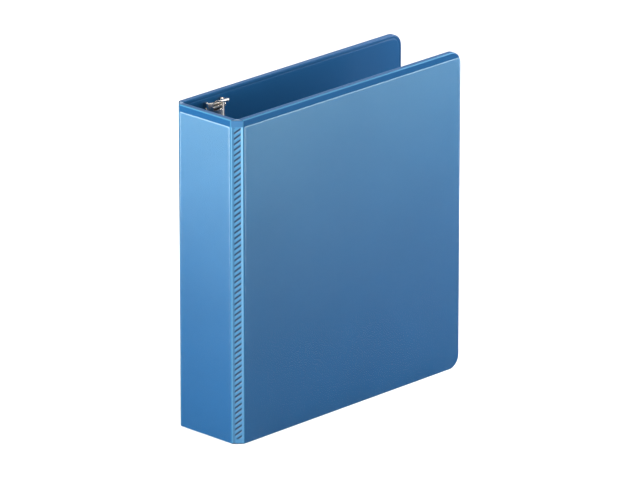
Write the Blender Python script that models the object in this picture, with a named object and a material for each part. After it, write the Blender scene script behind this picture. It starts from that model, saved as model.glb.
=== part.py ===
"""Two-inch D-ring view binder, standing upright and closed.

Frame: +Z up, the spine faces -Y, the front cover is at +X and the back cover at -X.
The origin is the bottom centre of the closed binder. All sizes are in metres.
"""
from math import asin, cos, pi, radians, sin

import bmesh
import bpy
from mathutils import Matrix, Vector

# Covers and spine
HEIGHT = 0.2953                 # bottom edge to top edge of every panel
DEPTH = 0.2790                  # outer face of the spine to the covers' free edges
SPINE_WIDTH = 0.0635            # spine panel, from one hinge weld to the other
HINGE_SETBACK = 0.0075          # each 45-degree hinge strip, along X and along Y
CORNER_RADIUS = 0.0120          # covers' free corners
GAP = 0.0003                    # between pieces that touch

BOARD_THICKNESS = 0.0032        # chipboard stiffener
VINYL_THICKNESS = 0.0009        # outer vinyl over the board's face
RIM_THICKNESS = 0.0012          # the same vinyl where it wraps the board's edge
LINER_THICKNESS = 0.0008        # inner vinyl, welded to the rim
OVERLAY_THICKNESS = 0.00035     # clear sheet over the outside, open at the top
OVERLAY_TOP_BAND = 0.0063       # bare vinyl above the clear sheet
OVERLAY_MARGIN = 0.0018         # bare vinyl at its other edges
POCKET_THICKNESS = 0.0004       # inside pocket sheet, open at the top
POCKET_HEIGHT = 0.1900
POCKET_MARGIN = 0.0060          # to the cover's bottom and free edges
FRONT_POCKET_START = 0.0150     # to the cover's hinge edge
BACK_POCKET_START = 0.0580      # the same, clear of the ring mechanism
STRIP_THICKNESS = 0.0030        # the two vinyl plies of a hinge strip

# Housing of the ring mechanism, which lies on the back cover's liner
HOUSING_CENTRE = 0.0420         # its centre line, from the outer face of the spine
HOUSING_WIDTH = 0.0220
HOUSING_END_MARGIN = 0.0060     # to the binder's top and bottom edges
HOUSING_HEIGHT = 0.0088         # crest above the liner
HOUSING_SIDE = 0.0049           # straight side wall above the liner
HOUSING_WALL = 0.0009
LIP_WIDTH = 0.0020              # side wall's edge, folded in under the rails
LIP_HEIGHT = 0.0028

# Rails that carry the rings, rocking on their outer edges
RAIL_THICKNESS = 0.0010
RAIL_AXIS_HEIGHT = 0.0039       # above the liner
RAIL_AXIS_INSET = 0.0007        # from the inside of the side wall
RAIL_CENTRE_GAP = 0.0005
RAIL_TILT = radians(7.5)        # centre edges down when closed, up by as much when open

# Rings, each a straight post and a curved half
RING_COUNT = 3
RING_SPACING = 0.10795          # three-hole filing, 4 1/4 in between holes
WIRE_RADIUS = 0.0021
SPIGOT_RADIUS = 0.00125         # end of a leg, staked in its rail
LEG_INSET = 0.0031              # rail's rocking edge to a leg's centre line
RING_CLEARANCE = 0.0102         # front liner to the wire's centre line at the top
RING_BULGE = 0.0210             # curved half's widest point, from the centre line
RING_BULGE_HEIGHT = 0.0300
BEND_END = 0.0011               # where the post's top bend ends, from the centre line
RING_MEETING = 0.0005           # where the halves meet, from the centre line

# Levers at both ends, which tip the rails
LEVER_PIVOT_INSET = 0.0060      # from the housing's end
LEVER_HUB = 0.0024
LEVER_WIDTH = 0.0100
LEVER_THICKNESS = 0.0013
LEVER_FOOT = (0.0074, 0.0052)   # bend at the foot of the tab: outward, and above the pivot
LEVER_TIP = (0.0094, 0.0152)    # end of the tab
TAB_CORNER = 0.0040
FORK_TILT = radians(8.25)       # fork points down when closed, up by as much when open
FORK_LENGTH = 0.0098            # pivot to the fork's tip
FORK_SLOT_DEPTH = 0.0032
FORK_SLOT = 0.0026
FORK_FINGER = 0.0005
FORK_WIDTH = 0.0030
FORK_GRIP = 0.0025              # how far the rails' ends reach into the fork
PIN_RADIUS = 0.0011
PIN_HEAD_RADIUS = 0.0017
PIN_HEAD = 0.0005
PIN_CLEARANCE = 0.00035

# Rivets that hold the housing to the back board
RIVET_OFFSET = 0.0540           # from the middle ring, halfway to its neighbours
RIVET_SHANK = 0.0020
RIVET_HEAD_RADIUS = 0.0043
RIVET_HEAD = 0.0015
RIVET_FLARE_RADIUS = 0.0040     # flared end, sunk in the board's outer face
RIVET_FLARE = 0.0011
RIVET_CLEARANCE = 0.00035

ARC_STEPS = 8
CREST_STEPS = 16
WIRE_SIDES = 12
WIRE_STEPS = 12
ROUND_SIDES = 20

# Derived places. Depths are measured inward from a panel's outermost face.
VINYL_FACE = OVERLAY_THICKNESS + GAP
BOARD_FACE = VINYL_FACE + VINYL_THICKNESS + GAP
LINER_FACE = BOARD_FACE + BOARD_THICKNESS + GAP
PANEL_THICKNESS = LINER_FACE + LINER_THICKNESS
THICKNESS = SPINE_WIDTH + 2 * HINGE_SETBACK
COVER_WIDTH = DEPTH - HINGE_SETBACK
SPINE_Y = -DEPTH / 2
HINGE_X = (SPINE_WIDTH + HINGE_SETBACK) / 2
HINGE_Y = SPINE_Y + HINGE_SETBACK / 2
LINER_X = -THICKNESS / 2 + PANEL_THICKNESS
RING_TOP = THICKNESS - 2 * PANEL_THICKNESS - RING_CLEARANCE     # above the back liner
HOUSING_Y = SPINE_Y + HOUSING_CENTRE
HOUSING_INSIDE = HOUSING_WIDTH / 2 - HOUSING_WALL
RAIL_AXIS = HOUSING_INSIDE - RAIL_AXIS_INSET
RAIL_WIDTH = RAIL_AXIS - RAIL_CENTRE_GAP / 2
RING_LEG = RAIL_AXIS - LEG_INSET     # from the housing's centre line
POST_BEND = RING_LEG - BEND_END
PIVOT_MARGIN = HOUSING_END_MARGIN + LEVER_PIVOT_INSET
RAIL_MARGIN = PIVOT_MARGIN + FORK_LENGTH * cos(FORK_TILT) - FORK_GRIP
RING_HEIGHTS = [HEIGHT / 2 + (i - (RING_COUNT - 1) / 2) * RING_SPACING for i in range(RING_COUNT)]
RING_NAMES = ("bottom", "middle", "top")
RIVET_HEIGHTS = {"bottom": HEIGHT / 2 - RIVET_OFFSET, "top": HEIGHT / 2 + RIVET_OFFSET}


# Building blocks

def add_material(name, colour, roughness, metallic=0.0, alpha=1.0):
    """A Principled material in one colour, given as linear red, green and blue."""
    material = bpy.data.materials.new(name)
    material.use_nodes = True
    shader = material.node_tree.nodes["Principled BSDF"]
    shader.inputs["Base Color"].default_value = (*colour, 1.0)
    shader.inputs["Roughness"].default_value = roughness
    shader.inputs["Metallic"].default_value = metallic
    shader.inputs["Alpha"].default_value = alpha
    return material


def add_empty(name, location, parent=None):
    """A joint axis or a group's centre, at a place in the frame of its parent."""
    empty = bpy.data.objects.new(name, None)
    empty.location = location
    empty.parent = parent
    bpy.context.collection.objects.link(empty)
    return empty


def add_object(name, mesh, parent=None):
    piece = bpy.data.objects.new(name, mesh)
    piece.parent = parent
    bpy.context.collection.objects.link(piece)
    return piece


def finished_mesh(name, shape, material, matrix=Matrix(), smooth=False):
    """Turn a bmesh into a mesh whose faces point out, moved by a matrix."""
    bmesh.ops.transform(shape, matrix=matrix, verts=shape.verts)
    bmesh.ops.recalc_face_normals(shape, faces=shape.faces)
    mesh = bpy.data.meshes.new(name)
    shape.to_mesh(mesh)
    shape.free()
    if smooth:
        mesh.shade_smooth()
        mesh.set_sharp_from_angle(angle=radians(40))
    mesh.materials.append(material)
    return mesh


def combine(piece, operation, name, shape, matrix=Matrix()):
    """Cut a shape out of a piece, or weld it on, with a live Boolean."""
    mesh = finished_mesh(name, shape, piece.data.materials[0], matrix)
    tool = add_object(name, mesh, piece.parent)
    tool.rotation_euler = piece.rotation_euler
    tool.display_type = "WIRE"
    tool.hide_render = True
    modifier = piece.modifiers.new(name, "BOOLEAN")
    modifier.operation = operation
    modifier.solver = "EXACT"
    modifier.object = tool


def frame_matrix(u_axis, v_axis, w_axis, origin=(0, 0, 0)):
    """Matrix that takes a shape's own (u, v, w) to its parent's frame."""
    return Matrix.Translation(origin) @ Matrix((u_axis, v_axis, w_axis)).transposed().to_4x4()


def arc(centre, radius, start, end, steps=ARC_STEPS):
    """Points along an arc, from one angle to another."""
    angles = [start + (end - start) * i / steps for i in range(steps + 1)]
    return [(centre[0] + radius * cos(a), centre[1] + radius * sin(a)) for a in angles]


def turned(points, angle):
    """Turn (u, v) points about the origin."""
    return [(u * cos(angle) - v * sin(angle), u * sin(angle) + v * cos(angle)) for u, v in points]


def rectangle(left, right, bottom, top):
    return [(left, bottom), (right, bottom), (right, top), (left, top)]


def add_loop(shape, points):
    return [shape.verts.new(point) for point in points]


def bridge(shape, first, second):
    """Walls between two loops of equal length."""
    for i in range(len(first)):
        j = (i + 1) % len(first)
        shape.faces.new((first[i], first[j], second[j], second[i]))


def prism(outline, low, high, shape=None):
    """An outline of (u, v) points, extruded from w = low to w = high."""
    shape = shape or bmesh.new()
    ends = [add_loop(shape, [(u, v, w) for u, v in outline]) for w in (low, high)]
    for end in ends:
        shape.faces.new(end)
    bridge(shape, *ends)
    return shape


def lathe(profile, shape=None, place=Matrix()):
    """Turn a profile of (radius, w) points about the w axis, with flat ends."""
    shape = shape or bmesh.new()
    turns = [2 * pi * i / ROUND_SIDES for i in range(ROUND_SIDES)]
    loops = [
        add_loop(shape, [place @ Vector((radius * cos(t), radius * sin(t), w)) for t in turns])
        for radius, w in profile
    ]
    shape.faces.new(loops[0])
    shape.faces.new(loops[-1])
    for first, second in zip(loops, loops[1:]):
        bridge(shape, first, second)
    return shape


def swept_wire(path, radii):
    """A round wire along a path in the (u, v) plane, with a radius at each point."""
    shape = bmesh.new()
    loops = []
    for i, (point, radius) in enumerate(zip(path, radii)):
        before = Vector(path[max(i - 1, 0)])
        after = Vector(path[min(i + 1, len(path) - 1)])
        along = (after - before).normalized()
        across = Vector((along.y, -along.x))
        turns = [2 * pi * k / WIRE_SIDES for k in range(WIRE_SIDES)]
        loops.append(add_loop(shape, [
            (point[0] + radius * cos(t) * across.x, point[1] + radius * cos(t) * across.y, radius * sin(t))
            for t in turns
        ]))
    shape.faces.new(loops[0])
    shape.faces.new(loops[-1])
    for first, second in zip(loops, loops[1:]):
        bridge(shape, first, second)
    return shape


def bezier(start, lead_out, lead_in, end, steps=WIRE_STEPS):
    """Points along a cubic curve, its first point left out."""
    points = []
    for i in range(1, steps + 1):
        t = i / steps
        weights = ((1 - t) ** 3, 3 * t * (1 - t) ** 2, 3 * t ** 2 * (1 - t), t ** 3)
        corners = (start, lead_out, lead_in, end)
        points.append(tuple(sum(w * c[axis] for w, c in zip(weights, corners)) for axis in (0, 1)))
    return points


# Panels: spine, front cover and back cover are built alike

def panel_outline(width, inset, corner_radius):
    """A panel's outline, hinge edge at u = 0; its two free corners may be round."""
    low, high, right = inset, HEIGHT - inset, width - inset
    radius = corner_radius - inset
    if radius <= 0:
        return rectangle(inset, right, low, high)
    lower = arc((right - radius, low + radius), radius, -pi / 2, 0)
    upper = arc((right - radius, high - radius), radius, 0, pi / 2)
    return [(inset, low)] + lower + upper + [(inset, high)]


def sheet_outline(left, right, bottom, top, corner_radius):
    """A clear or pocket sheet's outline; its lower free corner may be round."""
    if corner_radius <= 0:
        return rectangle(left, right, bottom, top)
    corner = arc((right - corner_radius, bottom + corner_radius), corner_radius, -pi / 2, 0)
    return [(left, bottom)] + corner + [(right, top), (left, top)]


def vinyl_tray(width, corner_radius):
    """Outer vinyl: a shallow tray that wraps the board's face and edges."""
    shape = bmesh.new()
    outer = panel_outline(width, 0, corner_radius)
    inner = panel_outline(width, RIM_THICKNESS, corner_radius)
    floor = VINYL_FACE + VINYL_THICKNESS
    loops = [
        add_loop(shape, [(u, v, w) for u, v in outline])
        for outline, w in (
            (outer, VINYL_FACE), (outer, PANEL_THICKNESS), (inner, PANEL_THICKNESS), (inner, floor)
        )
    ]
    shape.faces.new(loops[0])
    shape.faces.new(loops[-1])
    for first, second in zip(loops, loops[1:]):
        bridge(shape, first, second)
    return shape


def add_panel(name, width, corner_radius, matrix, parent):
    """Board, outer vinyl, liner and clear overlay of one panel."""
    inside = panel_outline(width, RIM_THICKNESS + GAP, corner_radius)
    overlay = sheet_outline(
        OVERLAY_MARGIN, width - OVERLAY_MARGIN, OVERLAY_MARGIN, HEIGHT - OVERLAY_TOP_BAND,
        corner_radius - OVERLAY_MARGIN,
    )
    shapes = {
        "vinyl": (vinyl_tray(width, corner_radius), VINYL),
        "board": (prism(inside, BOARD_FACE, BOARD_FACE + BOARD_THICKNESS), CHIPBOARD),
        "liner": (prism(inside, LINER_FACE, PANEL_THICKNESS), VINYL),
        "overlay": (prism(overlay, 0, OVERLAY_THICKNESS), CLEAR),
    }
    pieces = {}
    for part, (shape, material) in shapes.items():
        mesh = finished_mesh(f"{name}_{part}", shape, material, matrix)
        pieces[part] = add_object(f"{name}_{part}", mesh, parent)
    return pieces


def add_pocket(name, start, matrix, parent):
    """Inside pocket of a cover: one sheet over the liner, open at the top."""
    outline = sheet_outline(
        start, COVER_WIDTH - POCKET_MARGIN, POCKET_MARGIN, POCKET_MARGIN + POCKET_HEIGHT,
        CORNER_RADIUS - POCKET_MARGIN,
    )
    face = PANEL_THICKNESS + GAP
    mesh = finished_mesh(name, prism(outline, face, face + POCKET_THICKNESS), POCKET, matrix)
    add_object(name, mesh, parent)


def add_hinge_strip(name, side):
    """Unboarded vinyl at 45 degrees between the spine and a cover, which bends as a hinge."""
    near = GAP
    far = HINGE_SETBACK - GAP
    inward = STRIP_THICKNESS * 2 ** 0.5
    outline = [
        (near, VINYL_FACE + near),
        (near, VINYL_FACE + near + inward),
        (far - VINYL_FACE - inward, far),
        (far - VINYL_FACE, far),
    ]
    matrix = frame_matrix((side, 0, 0), (0, 1, 0), (0, 0, 1), (side * SPINE_WIDTH / 2, SPINE_Y, 0))
    add_object(name, finished_mesh(name, prism(outline, GAP, HEIGHT - GAP), VINYL, matrix))


# Ring mechanism: (u, v) is across the housing and up from the liner, w is the binder's height

MECHANISM_FRAME = frame_matrix((0, 1, 0), (1, 0, 0), (0, 0, 1))
RIVET_FRAME = frame_matrix((0, 1, 0), (0, 0, 1), (1, 0, 0))


def housing_profile():
    """Cross-section of the pressed housing, an arch with folded lips."""
    half = HOUSING_WIDTH / 2
    rise = HOUSING_HEIGHT - HOUSING_SIDE
    radius = (half ** 2 + rise ** 2) / (2 * rise)
    centre = (0, HOUSING_HEIGHT - radius)
    spread = asin(half / radius)
    inner_radius = radius - HOUSING_WALL
    inner_spread = asin(HOUSING_INSIDE / inner_radius)
    lip_edge = HOUSING_INSIDE - LIP_WIDTH
    outside = arc(centre, radius, pi / 2 - spread, pi / 2 + spread, CREST_STEPS)
    inside = arc(centre, inner_radius, pi / 2 + inner_spread, pi / 2 - inner_spread, CREST_STEPS)
    left = [(-half, GAP), (-lip_edge, GAP), (-lip_edge, LIP_HEIGHT), (-HOUSING_INSIDE, LIP_HEIGHT)]
    right = [(-u, v) for u, v in reversed(left)]
    return outside + left + inside + right


def add_housing(parent):
    """Housing with slots for the ring legs, notches for the levers and holes for pins and rivets."""
    profile = housing_profile()
    shape = prism(profile, HOUSING_END_MARGIN, HEIGHT - HOUSING_END_MARGIN)
    mesh = finished_mesh("ring_housing", shape, NICKEL, MECHANISM_FRAME, smooth=True)
    housing = add_object("ring_housing", mesh, parent)

    above = HOUSING_HEIGHT + GAP
    swing = (HOUSING_HEIGHT - RAIL_AXIS_HEIGHT) * sin(2 * RAIL_TILT)
    near = RING_LEG - WIRE_RADIUS - GAP
    far = RING_LEG + WIRE_RADIUS + swing + GAP
    slots = bmesh.new()
    for height in RING_HEIGHTS:
        low, high = height - WIRE_RADIUS - 2 * GAP, height + WIRE_RADIUS + 2 * GAP
        prism(rectangle(near, far, RAIL_AXIS_HEIGHT, above), low, high, slots)
        prism(rectangle(-far, -near, RAIL_AXIS_HEIGHT, above), low, high, slots)
    notch = rectangle(-LEVER_WIDTH / 2 - 2 * GAP, LEVER_WIDTH / 2 + 2 * GAP, GAP, above)
    length = LEVER_PIVOT_INSET + LEVER_THICKNESS
    for start in (HOUSING_END_MARGIN - GAP, HEIGHT - HOUSING_END_MARGIN - length):
        prism(notch, start, start + length + GAP, slots)
    combine(housing, "DIFFERENCE", "leg_slots_and_lever_notches", slots, MECHANISM_FRAME)

    holes = bmesh.new()
    rivet_hole = [(RIVET_SHANK + RIVET_CLEARANCE, LIP_HEIGHT), (RIVET_SHANK + RIVET_CLEARANCE, above)]
    for height in RIVET_HEIGHTS.values():
        lathe(rivet_hole, holes, Matrix.Translation((0, 0, height)) @ RIVET_FRAME)
    pin_hole_radius = PIN_RADIUS + PIN_CLEARANCE
    pin_hole = [(pin_hole_radius, -HOUSING_WIDTH), (pin_hole_radius, HOUSING_WIDTH)]
    pin_frame = frame_matrix((1, 0, 0), (0, 0, 1), (0, 1, 0))
    for height in (PIVOT_MARGIN, HEIGHT - PIVOT_MARGIN):
        lathe(pin_hole, holes, Matrix.Translation((RAIL_AXIS_HEIGHT, 0, height)) @ pin_frame)
    combine(housing, "DIFFERENCE", "pin_and_rivet_holes", holes)


def add_rail(name, side, parent):
    """Flat rail that rocks on its outer edge, notched to pass the rivets."""
    clear = RIVET_SHANK + 3 * RIVET_CLEARANCE
    inner_edge = []
    for height in RIVET_HEIGHTS.values():
        inner_edge += [
            (RAIL_AXIS - u, v) for u, v in arc((0, height), clear, -pi / 2, pi / 2)
            if RAIL_AXIS - u <= RAIL_WIDTH
        ]
    outline = [(0, RAIL_MARGIN), (RAIL_WIDTH, RAIL_MARGIN)] + inner_edge
    outline += [(RAIL_WIDTH, HEIGHT - RAIL_MARGIN), (0, HEIGHT - RAIL_MARGIN)]
    matrix = frame_matrix((0, -side, 0), (0, 0, 1), (1, 0, 0))
    shape = prism(outline, -RAIL_THICKNESS / 2, RAIL_THICKNESS / 2)
    rail = add_object(name, finished_mesh(name, shape, NICKEL, matrix), parent)
    rail.rotation_euler.z = -side * RAIL_TILT

    holes = bmesh.new()
    radius = SPIGOT_RADIUS + GAP
    for height in RING_HEIGHTS:
        centre = Matrix.Translation((RAIL_AXIS - RING_LEG, height, 0))
        lathe([(radius, -RAIL_THICKNESS), (radius, RAIL_THICKNESS)], holes, centre)
    combine(rail, "DIFFERENCE", f"{name}_spigot_holes", holes, matrix)


def add_ring_half(name, path, side, parent):
    """One half of each ring: a spigot in the rail, then a leg and its bend."""
    under = RAIL_AXIS_HEIGHT - (RAIL_AXIS - RING_LEG) * sin(RAIL_TILT)
    shoulder = under + RAIL_THICKNESS / 2 + 2 * GAP
    leg = [(side * RING_LEG, v) for v in (under - RAIL_THICKNESS / 2, shoulder, shoulder)]
    points = leg + path
    radii = [SPIGOT_RADIUS, SPIGOT_RADIUS] + [WIRE_RADIUS] * (len(points) - 2)
    local = [(u - side * RAIL_AXIS, v - RAIL_AXIS_HEIGHT) for u, v in points]
    mesh = finished_mesh(name, swept_wire(local, radii), NICKEL, MECHANISM_FRAME, smooth=True)
    for label, height in zip(RING_NAMES, RING_HEIGHTS):
        add_object(f"{name}_{label}", mesh, parent).location.z = height


def post_path():
    """Straight post, bent over at the top towards the curved half."""
    bend = arc((RING_LEG - POST_BEND, RING_TOP - POST_BEND), POST_BEND, 0, pi / 2)
    return bend + [(RING_MEETING, RING_TOP)]


def curve_path():
    """Curved half: out of the housing, round the bulge and back to meet the post."""
    leg = (-RING_LEG, HOUSING_HEIGHT)
    bulge = (-RING_BULGE, RING_BULGE_HEIGHT)
    end = (RING_MEETING - GAP, RING_TOP)
    lift = RING_BULGE_HEIGHT - HOUSING_HEIGHT
    reach = RING_TOP - RING_BULGE_HEIGHT
    lower = bezier(leg, (leg[0], leg[1] + lift / 3), (bulge[0], bulge[1] - lift / 2), bulge)
    upper = bezier(bulge, (bulge[0], bulge[1] + reach * 0.62), (end[0] - RING_BULGE * 0.6, end[1]), end)
    return [leg] + lower + upper


def strip_sides(path, thickness):
    """The two sides of a bent strip of sheet metal along a path."""
    sides = ([], [])
    for i, point in enumerate(path):
        before = Vector(path[max(i - 1, 0)])
        after = Vector(path[min(i + 1, len(path) - 1)])
        along = (after - before).normalized() * thickness / 2
        sides[0].append((point[0] - along.y, point[1] + along.x))
        sides[1].append((point[0] + along.y, point[1] - along.x))
    return sides


def add_lever(name, direction, parent):
    """Lever: a hub on its pin, a thumb tab outside and a fork that grips the rails' ends."""
    inner, outer = strip_sides([(LEVER_HUB / 3, LEVER_HUB / 3), LEVER_FOOT, LEVER_TIP], LEVER_THICKNESS)
    hub = arc((0, 0), LEVER_HUB, radians(100), radians(320), 2 * ARC_STEPS)
    shape = prism(outer + inner[:0:-1] + hub, -LEVER_WIDTH / 2, LEVER_WIDTH / 2)
    tip_edges = [
        edge for edge in shape.edges
        if all(vert.co.y > LEVER_TIP[1] - LEVER_THICKNESS for vert in edge.verts)
        and edge.verts[0].co.z == edge.verts[1].co.z
    ]
    bmesh.ops.bevel(shape, geom=tip_edges, offset=TAB_CORNER, segments=6, profile=0.5, affect="EDGES")
    matrix = frame_matrix((0, 0, direction), (1, 0, 0), (0, 1, 0))
    lever = add_object(name, finished_mesh(name, shape, NICKEL, matrix, smooth=True), parent)

    slot, back = FORK_SLOT / 2, FORK_LENGTH - FORK_SLOT_DEPTH
    edge = slot + FORK_FINGER
    upper = [(0, edge), (-FORK_LENGTH, edge), (-FORK_LENGTH, slot), (-back, slot)]
    fork = turned(upper + [(u, -v) for u, v in reversed(upper)], FORK_TILT)
    combine(lever, "UNION", f"{name}_fork", prism(fork, -FORK_WIDTH / 2, FORK_WIDTH / 2), matrix)
    radius = PIN_RADIUS + PIN_CLEARANCE
    bore = lathe([(radius, -LEVER_WIDTH), (radius, LEVER_WIDTH)])
    combine(lever, "DIFFERENCE", f"{name}_bore", bore, matrix)


def add_lever_pin(name, parent):
    """Pin across the housing, headed outside both side walls."""
    inside = HOUSING_WIDTH / 2 + GAP
    outside = inside + PIN_HEAD
    half = [(PIN_RADIUS, inside), (PIN_HEAD_RADIUS, inside), (PIN_HEAD_RADIUS, outside)]
    profile = [(radius, -w) for radius, w in reversed(half)] + half
    matrix = frame_matrix((1, 0, 0), (0, 0, 1), (0, 1, 0))
    add_object(name, finished_mesh(name, lathe(profile), NICKEL, matrix, smooth=True), parent)


def add_rivet(name, height, parent):
    """Rivet from the housing's crest to the back board, its flare hidden by the outer vinyl."""
    board_back = LINER_THICKNESS + GAP + BOARD_THICKNESS
    seat = HOUSING_HEIGHT + GAP
    dome = arc((0, seat), 1, pi / 2, 0, ARC_STEPS)[1:]
    head = [(RIVET_HEAD_RADIUS * x, seat + RIVET_HEAD * (y - seat)) for x, y in dome]
    shank = [(RIVET_SHANK, seat), (RIVET_SHANK, RIVET_FLARE - board_back)]
    flare = [(RIVET_FLARE_RADIUS, RIVET_FLARE - board_back), (RIVET_FLARE_RADIUS, -board_back)]
    mesh = finished_mesh(name, lathe(head + shank + flare), NICKEL, RIVET_FRAME, smooth=True)
    add_object(name, mesh, parent).location.z = height


def cut_rivet_holes(pieces):
    """Rivet holes through the back cover's liner and board, with the board's sunk outside."""
    hole = RIVET_SHANK + RIVET_CLEARANCE
    board_back = LINER_THICKNESS + GAP + BOARD_THICKNESS
    sink_radius = RIVET_FLARE_RADIUS + GAP
    sink = [(sink_radius, -board_back - GAP), (sink_radius, RIVET_FLARE + GAP - board_back)]
    offset = Matrix.Translation((LINER_X + HINGE_X, HOUSING_Y - HINGE_Y, 0))
    for label, height in RIVET_HEIGHTS.items():
        matrix = offset @ Matrix.Translation((0, 0, height)) @ RIVET_FRAME
        through = lathe([(hole, -LINER_THICKNESS - GAP / 2), (hole, GAP)])
        combine(pieces["liner"], "DIFFERENCE", f"liner_rivet_hole_{label}", through, matrix)
        bore = lathe(sink + [(hole, sink[-1][1]), (hole, -LINER_THICKNESS)])
        combine(pieces["board"], "DIFFERENCE", f"board_rivet_hole_{label}", bore, matrix)


# Assembly

for leftover in list(bpy.data.objects):
    bpy.data.objects.remove(leftover, do_unlink=True)

VINYL = add_material("Blue vinyl", (0.030, 0.145, 0.330), 0.35)
CHIPBOARD = add_material("Grey chipboard", (0.300, 0.270, 0.220), 0.90)
CLEAR = add_material("Clear polypropylene", (0.300, 0.540, 0.780), 0.12, alpha=0.35)
POCKET = add_material("Pocket vinyl", (0.030, 0.130, 0.290), 0.30)
NICKEL = add_material("Nickel-plated steel", (0.620, 0.630, 0.640), 0.22, metallic=1.0)

spine_matrix = frame_matrix((1, 0, 0), (0, 0, 1), (0, 1, 0), (-SPINE_WIDTH / 2, SPINE_Y, 0))
add_panel("spine", SPINE_WIDTH, 0, spine_matrix, None)

covers = {}
for cover_name, cover_side, pocket_start in (
    ("front", 1, FRONT_POCKET_START), ("back", -1, BACK_POCKET_START)
):
    add_hinge_strip(f"{cover_name}_hinge_strip", cover_side)
    hinge = add_empty(f"{cover_name}_hinge", (cover_side * HINGE_X, HINGE_Y, 0))
    cover_origin = (cover_side * (THICKNESS / 2 - HINGE_X), HINGE_SETBACK / 2, 0)
    cover_matrix = frame_matrix((0, 1, 0), (0, 0, 1), (-cover_side, 0, 0), cover_origin)
    cover_pieces = add_panel(cover_name, COVER_WIDTH, CORNER_RADIUS, cover_matrix, hinge)
    add_pocket(f"{cover_name}_pocket", pocket_start, cover_matrix, hinge)
    covers[cover_name] = (hinge, cover_pieces)

back_hinge, back_pieces = covers["back"]
cut_rivet_holes(back_pieces)
mechanism = add_empty("mechanism", (LINER_X + HINGE_X, HOUSING_Y - HINGE_Y, 0), back_hinge)
add_housing(mechanism)
for rivet_label, rivet_height in RIVET_HEIGHTS.items():
    add_rivet(f"housing_rivet_{rivet_label}", rivet_height, mechanism)

for rail_name, ring_name, ring_path, rail_side in (
    ("spine_side_rail", "ring_curve", curve_path(), -1), ("free_side_rail", "ring_post", post_path(), 1)
):
    rail_axis = add_empty(f"{rail_name}_axis", (RAIL_AXIS_HEIGHT, rail_side * RAIL_AXIS, 0), mechanism)
    add_rail(rail_name, rail_side, rail_axis)
    add_ring_half(ring_name, ring_path, rail_side, rail_axis)

for lever_label, pivot_height, outward in (
    ("bottom", PIVOT_MARGIN, -1), ("top", HEIGHT - PIVOT_MARGIN, 1)
):
    pivot = add_empty(f"lever_{lever_label}_pivot", (RAIL_AXIS_HEIGHT, 0, pivot_height), mechanism)
    add_lever(f"lever_{lever_label}", outward, pivot)
    add_lever_pin(f"lever_pin_{lever_label}", pivot)
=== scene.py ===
"""Two-inch D-ring view binder: its looks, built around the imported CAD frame.

Frame: +Z up, the spine faces -Y, the front cover is at +X and the back cover at -X.
All sizes are in metres.
"""
from math import cos, pi, radians, sin, sqrt

import bmesh
import bpy
from mathutils import Matrix, Vector


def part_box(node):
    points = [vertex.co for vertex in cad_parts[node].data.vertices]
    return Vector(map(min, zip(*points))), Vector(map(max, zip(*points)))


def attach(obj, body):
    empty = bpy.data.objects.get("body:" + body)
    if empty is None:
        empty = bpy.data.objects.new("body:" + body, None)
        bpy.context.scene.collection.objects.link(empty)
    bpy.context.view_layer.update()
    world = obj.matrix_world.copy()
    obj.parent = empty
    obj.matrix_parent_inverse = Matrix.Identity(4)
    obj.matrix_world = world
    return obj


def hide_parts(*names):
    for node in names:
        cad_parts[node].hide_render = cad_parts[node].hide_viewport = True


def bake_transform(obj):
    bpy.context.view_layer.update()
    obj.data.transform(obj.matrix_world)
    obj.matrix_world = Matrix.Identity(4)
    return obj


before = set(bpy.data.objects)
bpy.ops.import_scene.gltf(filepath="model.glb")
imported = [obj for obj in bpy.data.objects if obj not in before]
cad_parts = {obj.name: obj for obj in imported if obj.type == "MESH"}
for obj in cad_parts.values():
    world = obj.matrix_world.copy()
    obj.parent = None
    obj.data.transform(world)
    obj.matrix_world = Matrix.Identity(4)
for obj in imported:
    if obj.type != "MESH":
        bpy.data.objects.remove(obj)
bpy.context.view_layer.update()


# Stiffening boards
#
# Three pieces of grey chipboard, die-cut, that make the spine and the covers stiff. The vinyl is
# welded shut round them, so their CAD shapes are enough.

BOARDS = ("spine_board", "front_board", "back_board")
CHIP_WIDTH = 0.0012                 # flecks of recycled paper
CHIP_RELIEF = 0.00008
BOARD_DARK = "#8C8475"
BOARD_PALE = "#B0A896"
MIX_A, MIX_B, MIX_RESULT = 6, 7, 2  # colour sockets of the Mix node


def colour(code):
    """A colour given as sRGB hex, in linear light with alpha."""
    channels = [int(code[i:i + 2], 16) / 255 for i in (1, 3, 5)]
    return (*[c / 12.92 if c <= 0.04045 else ((c + 0.055) / 1.055) ** 2.4 for c in channels], 1.0)


def new_material(name):
    """A material and its shader."""
    material = bpy.data.materials.new(name)
    material.use_nodes = True
    return material, material.node_tree.nodes["Principled BSDF"]


def set_inputs(node, inputs):
    """Give sockets a value, or link them from another node's socket."""
    for name, value in inputs.items():
        if isinstance(value, bpy.types.NodeSocket):
            node.id_data.links.new(value, node.inputs[name])
        else:
            node.inputs[name].default_value = value


def add_node(material, kind, inputs=None, **settings):
    """Add one node with its settings, values and links."""
    node = material.node_tree.nodes.new(kind)
    for name, value in settings.items():
        setattr(node, name, value)
    set_inputs(node, inputs or {})
    return node


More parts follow.
